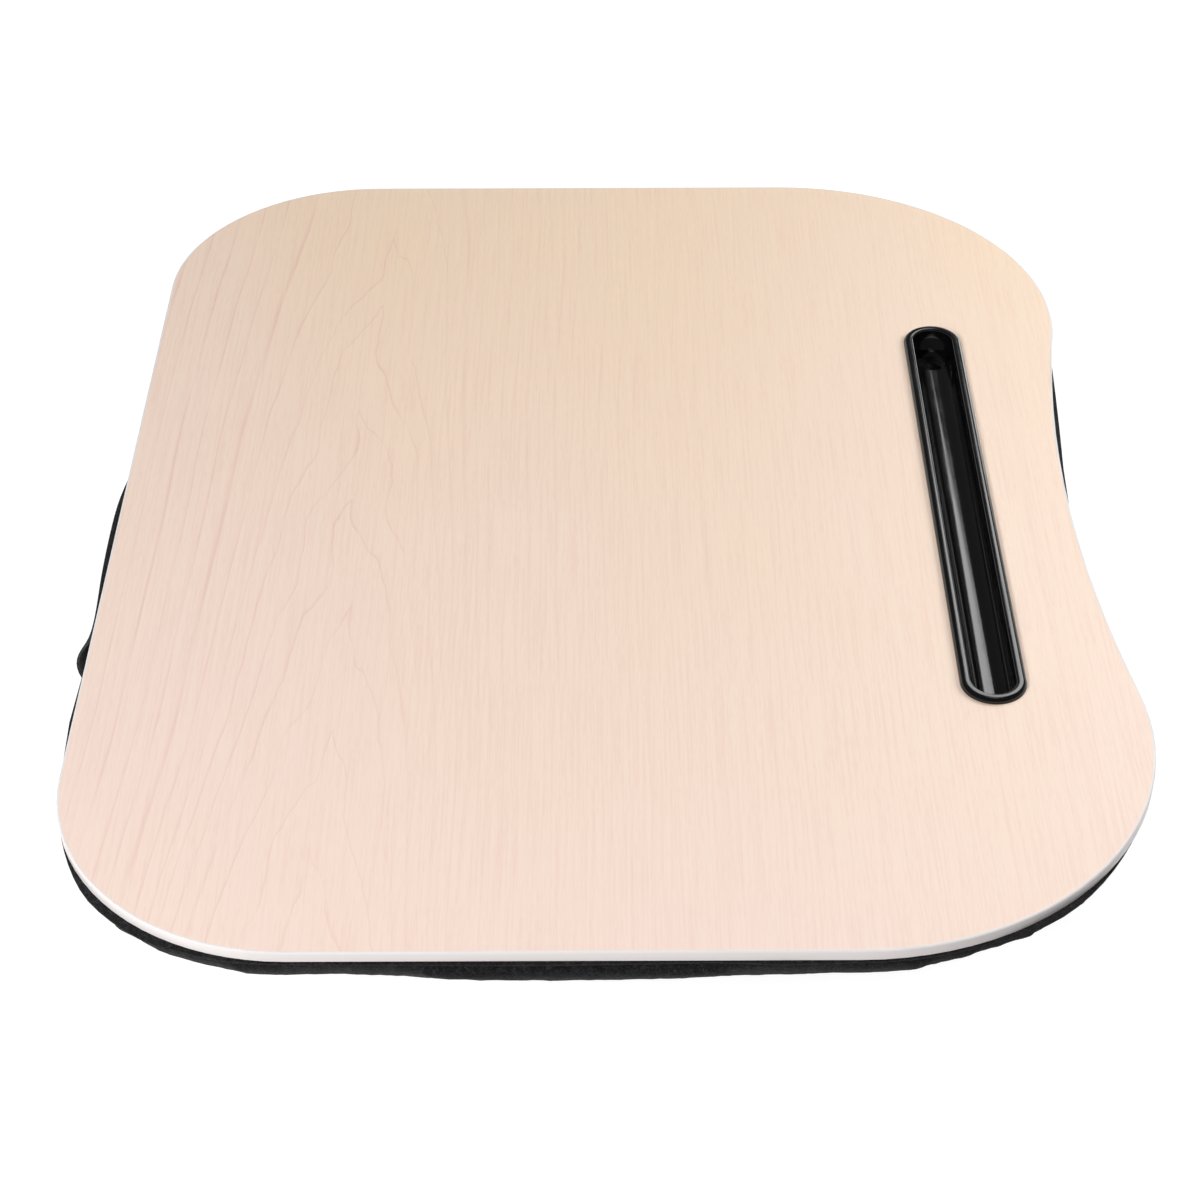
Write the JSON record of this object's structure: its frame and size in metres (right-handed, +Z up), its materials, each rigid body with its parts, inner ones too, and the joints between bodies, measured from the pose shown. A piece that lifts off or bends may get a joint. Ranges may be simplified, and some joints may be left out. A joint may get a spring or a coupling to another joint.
{
  "type": "lap tray with cushion",
  "caption": "Thin wood-print board with a white edge band, a black pen tray set into it beside its waisted edge, and a crowned felt cushion with a carry strap underneath",
  "frame": {"origin": "On the surface the cushion rests on, straight below the middle of the board's 440 x 340 mm outline", "axes": "+Z up out of the writing surface; +Y along the long sides, towards the pen tray's finger well; +X towards the waisted long side beside the pen tray; the carry strap is on -X"},
  "size_m": [0.3448, 0.443, 0.0518],
  "materials": {
    "wood_print": "pale pinkish wood print on a fine satin laminate, grain along the long side",
    "fibreboard": "bare medium-density fibreboard",
    "backing_paper": "plain resin-soaked balancing sheet",
    "white_band": "smooth white edging, slightly rounded",
    "black_gloss": "black moulded plastic with a polished trough",
    "black_felt": "fuzzy black felt",
    "bead_fill": "loose expanded polystyrene beads"
  },
  "bodies": {
    "root": {"top_laminate": "wood_print", "board_core": "fibreboard", "backing_sheet": "backing_paper", "edge_band": "white_band", "pen_tray": "black_gloss", "cover_top_panel": "black_felt", "cover_under_panel": "black_felt", "cushion_filling": "bead_fill", "carry_strap": "black_felt"}
  },
  "joints": []
}
